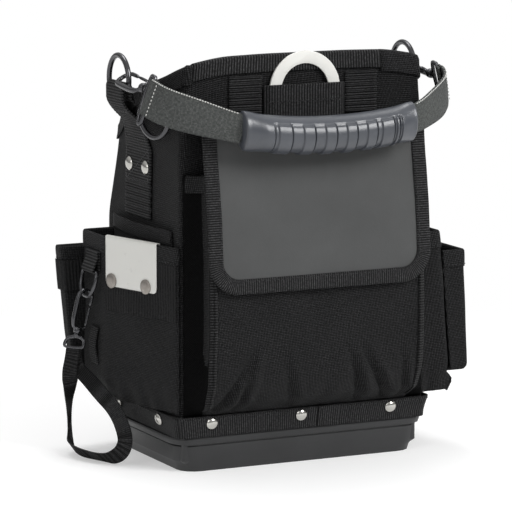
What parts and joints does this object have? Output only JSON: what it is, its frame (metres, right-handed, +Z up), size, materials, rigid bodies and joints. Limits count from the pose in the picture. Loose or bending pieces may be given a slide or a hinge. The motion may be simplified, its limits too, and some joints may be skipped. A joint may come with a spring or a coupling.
{
  "type": "tool pouch",
  "caption": "Upright tool pouch with a moulded base, open fabric body, bulging front pocket with a flap, side pockets, a padded grip on clip straps and a hanging ring.",
  "frame": {"origin": "centre of the base's flat underside", "axes": "+Z up, -Y towards the front with the flap, +X to the right seen from the front"},
  "size_m": [0.3472, 0.2245, 0.3645],
  "materials": {
    "binding": "ribbed edge binding",
    "board": "smooth",
    "cloth": "woven ballistic nylon",
    "flap_face": "grained coated cloth",
    "grip_rubber": "matt moulded",
    "gunmetal": "dark plated, satin",
    "moulded_base": "moulded, satin",
    "nickel": "plated, satin",
    "pale_metal": "pale, satin",
    "strap_webbing": "light twill webbing",
    "webbing": "ribbed webbing"
  },
  "bodies": {
    "pouch": {"band": "binding", "band_rivet_front_1": "nickel", "band_rivet_front_2": "nickel", "band_rivet_front_3": "nickel", "band_rivet_left_1": "nickel", "band_rivet_left_2": "nickel", "band_rivet_rear_1": "nickel", "band_rivet_rear_2": "nickel", "band_rivet_right_1": "nickel", "band_rivet_right_2": "nickel", "base_tub": "moulded_base", "bottom_board": "board", "clip_plate": "pale_metal", "flap_root": "flap_face", "front_wall": "cloth", "keeper": "webbing", "left_rear_pocket": "cloth", "left_side_pocket": "cloth", "left_upper_pocket": "cloth", "left_wall": "cloth", "plate_rivet_1": "nickel", "plate_rivet_2": "nickel", "pocket_front": "cloth", "pocket_gusset_left": "cloth", "pocket_gusset_right": "cloth", "rear_wall": "cloth", "right_outer_pocket": "cloth", "right_side_pocket": "cloth", "right_wall": "cloth", "rim_front": "webbing", "side_ring_tab": "webbing", "strip_left": "webbing", "strip_right": "webbing", "tab_left": "webbing", "tab_right": "webbing", "tab_rivet_left_1": "nickel", "tab_rivet_left_2": "nickel", "tab_rivet_right_1": "nickel", "tab_rivet_right_2": "nickel", "tape_strap": "webbing", "tape_tab": "webbing"},
    "handle": {"grip": "grip_rubber", "strap_left": "strap_webbing", "strap_right": "strap_webbing", "eye_left": "gunmetal", "eye_right": "gunmetal"},
    "ring_left": {"d_ring_left": "gunmetal"},
    "ring_right": {"d_ring_right": "gunmetal"},
    "hook_left": {"hook_left": "gunmetal"},
    "hook_right": {"hook_right": "gunmetal"},
    "gate_left": {"gate_left": "gunmetal"},
    "gate_right": {"gate_right": "gunmetal"},
    "flap": {"flap_lower": "flap_face", "flap_binding": "binding"},
    "hanger": {"hanging_ring": "pale_metal"},
    "side_ring": {"side_ring": "gunmetal"},
    "tape_ring": {"tape_ring": "gunmetal"},
    "tape_hook": {"tape_hook": "gunmetal"},
    "tape_gate": {"tape_gate": "gunmetal"},
    "tape_eye": {"tape_eye": "gunmetal"}
  },
  "joints": [
    {"name": "handle_swing", "type": "hinge", "parent": "pouch", "child": "handle", "pos_m": [0, 0.002, 0.3375], "axis": [-1, 0, 0], "range_deg": [0, 140]},
    {"name": "ring_left_rock", "type": "hinge", "parent": "pouch", "child": "ring_left", "pos_m": [-0.14, 0.002, 0.3315], "axis": [0, 1, 0], "range_deg": [-4, 4]},
    {"name": "ring_right_rock", "type": "hinge", "parent": "pouch", "child": "ring_right", "pos_m": [0.14, 0.002, 0.3315], "axis": [0, 1, 0], "range_deg": [-4, 4]},
    {"name": "hook_left_swivel", "type": "hinge", "parent": "handle", "child": "hook_left", "pos_m": [-0.14, -0.0195, 0.3385], "axis": [0, -0.9945, -0.1045], "range_deg": [-40, 0]},
    {"name": "hook_right_swivel", "type": "hinge", "parent": "handle", "child": "hook_right", "pos_m": [0.14, -0.0195, 0.3385], "axis": [0, 0.9945, 0.1045], "range_deg": [-40, 0]},
    {"name": "gate_left_open", "type": "hinge", "parent": "hook_left", "child": "gate_left", "pos_m": [-0.13307, -0.04438, 0.33991], "axis": [-0.5, -0.0905, 0.8613], "range_deg": [0, 20], "stiffness_Nm_per_rad": 0.02, "springref_deg": -11.46},
    {"name": "gate_right_open", "type": "hinge", "parent": "hook_right", "child": "gate_right", "pos_m": [0.13307, -0.04438, 0.33991], "axis": [-0.5, 0.0905, -0.8613], "range_deg": [0, 20], "stiffness_Nm_per_rad": 0.02, "springref_deg": -11.46},
    {"name": "flap_fold", "type": "hinge", "parent": "pouch", "child": "flap", "pos_m": [0, -0.102, 0.2751], "axis": [-1, 0, 0], "range_deg": [0, 80]},
    {"name": "hanger_slide", "type": "slide", "parent": "pouch", "child": "hanger", "axis": [0, 0, 1], "range_m": [0, 0.015]},
    {"name": "side_ring_swing", "type": "hinge", "parent": "pouch", "child": "side_ring", "pos_m": [-0.12779, -0.046, 0.317], "axis": [-0.2136, 0.9769, 0], "range_deg": [0, 45]},
    {"name": "tape_ring_swing", "type": "hinge", "parent": "pouch", "child": "tape_ring", "pos_m": [-0.1541, 0.0345, 0.1675], "axis": [0, 1, 0], "range_deg": [0, 30], "deforming": ["tape_strap"]},
    {"name": "tape_hook_swing", "type": "hinge", "parent": "tape_ring", "child": "tape_hook", "pos_m": [-0.1593, 0.0345, 0.14305], "axis": [0, 1, 0], "range_deg": [0, 20]},
    {"name": "tape_gate_open", "type": "hinge", "parent": "tape_hook", "child": "tape_gate", "pos_m": [-0.15987, 0.0345, 0.11618], "axis": [0, -1, 0], "range_deg": [0, 20], "stiffness_Nm_per_rad": 0.01, "springref_deg": -11.46},
    {"name": "tape_eye_swivel", "type": "hinge", "parent": "tape_hook", "child": "tape_eye", "pos_m": [-0.1681, 0.0345, 0.1102], "axis": [-0.2588, 0, -0.9659], "range_deg": [-10, 30]}
  ]
}
